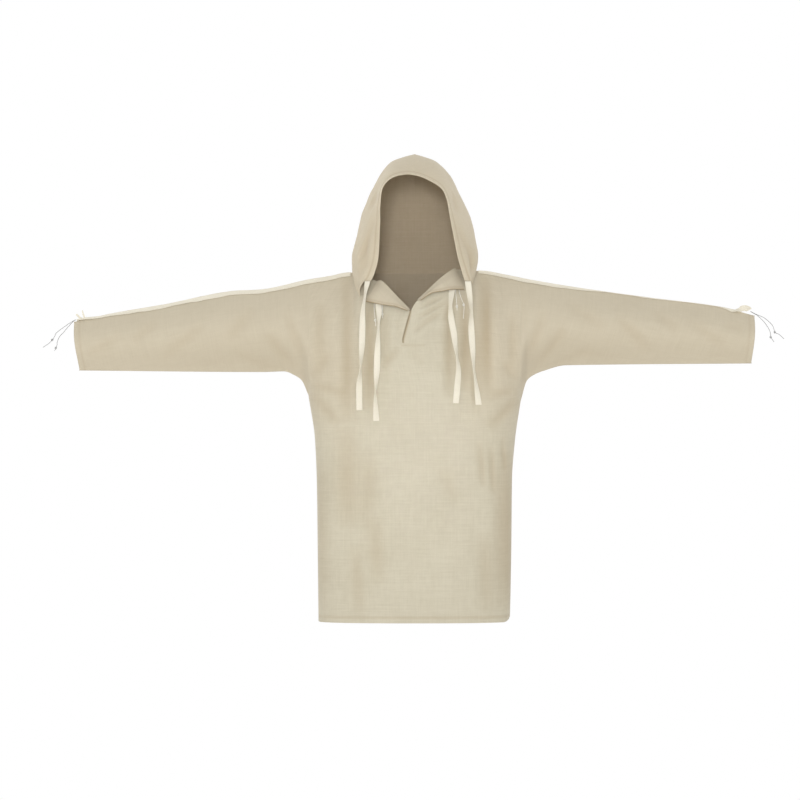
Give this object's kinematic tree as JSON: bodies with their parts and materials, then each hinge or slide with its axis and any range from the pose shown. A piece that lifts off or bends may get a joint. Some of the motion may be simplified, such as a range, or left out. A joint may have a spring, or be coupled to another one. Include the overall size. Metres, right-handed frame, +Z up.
{
  "type": "hooded linen pullover smock with a slit neck and long straight sleeves",
  "caption": "Loose hooded linen smock with a slit neck, straight T-cut sleeves, twill tape along the shoulders and sleeves, and hanging tape ties.",
  "frame": {"origin": "middle of the wearer's shoulders, at the level of the neck end of the shoulder seams, in the plane of the side seams", "axes": "+Z up, the wearer faces -Y, +X is the wearer's left, along the outstretched sleeves"},
  "size_m": [1.6305, 0.242, 1.0265],
  "materials": {
    "linen": "matt natural linen, plain weave with slubs",
    "ivory_tape": "matt ivory cotton twill tape",
    "thin_cord": "matt pale twisted cotton cord"
  },
  "bodies": {
    "root": {"front": "linen", "back": "linen", "sleeve_left": "linen", "sleeve_right": "linen", "hood_left": "linen", "hood_right": "linen", "lapel_left": "linen", "lapel_right": "linen", "tape_left": "ivory_tape", "tape_right": "ivory_tape", "tape_tail_right_upper": "ivory_tape", "tape_tail_right_lower": "ivory_tape", "tie_hood_left": "ivory_tape", "tie_hood_right": "ivory_tape", "tie_neck_left": "ivory_tape", "tie_neck_right": "ivory_tape", "cord_cuff_left_a": "thin_cord", "cord_cuff_left_b": "thin_cord", "cord_cuff_right_a": "thin_cord", "cord_cuff_right_b": "thin_cord", "cord_neck_left_a": "thin_cord", "cord_neck_left_b": "thin_cord", "cord_neck_right_a": "thin_cord", "cord_neck_right_b": "thin_cord"}
  },
  "joints": []
}
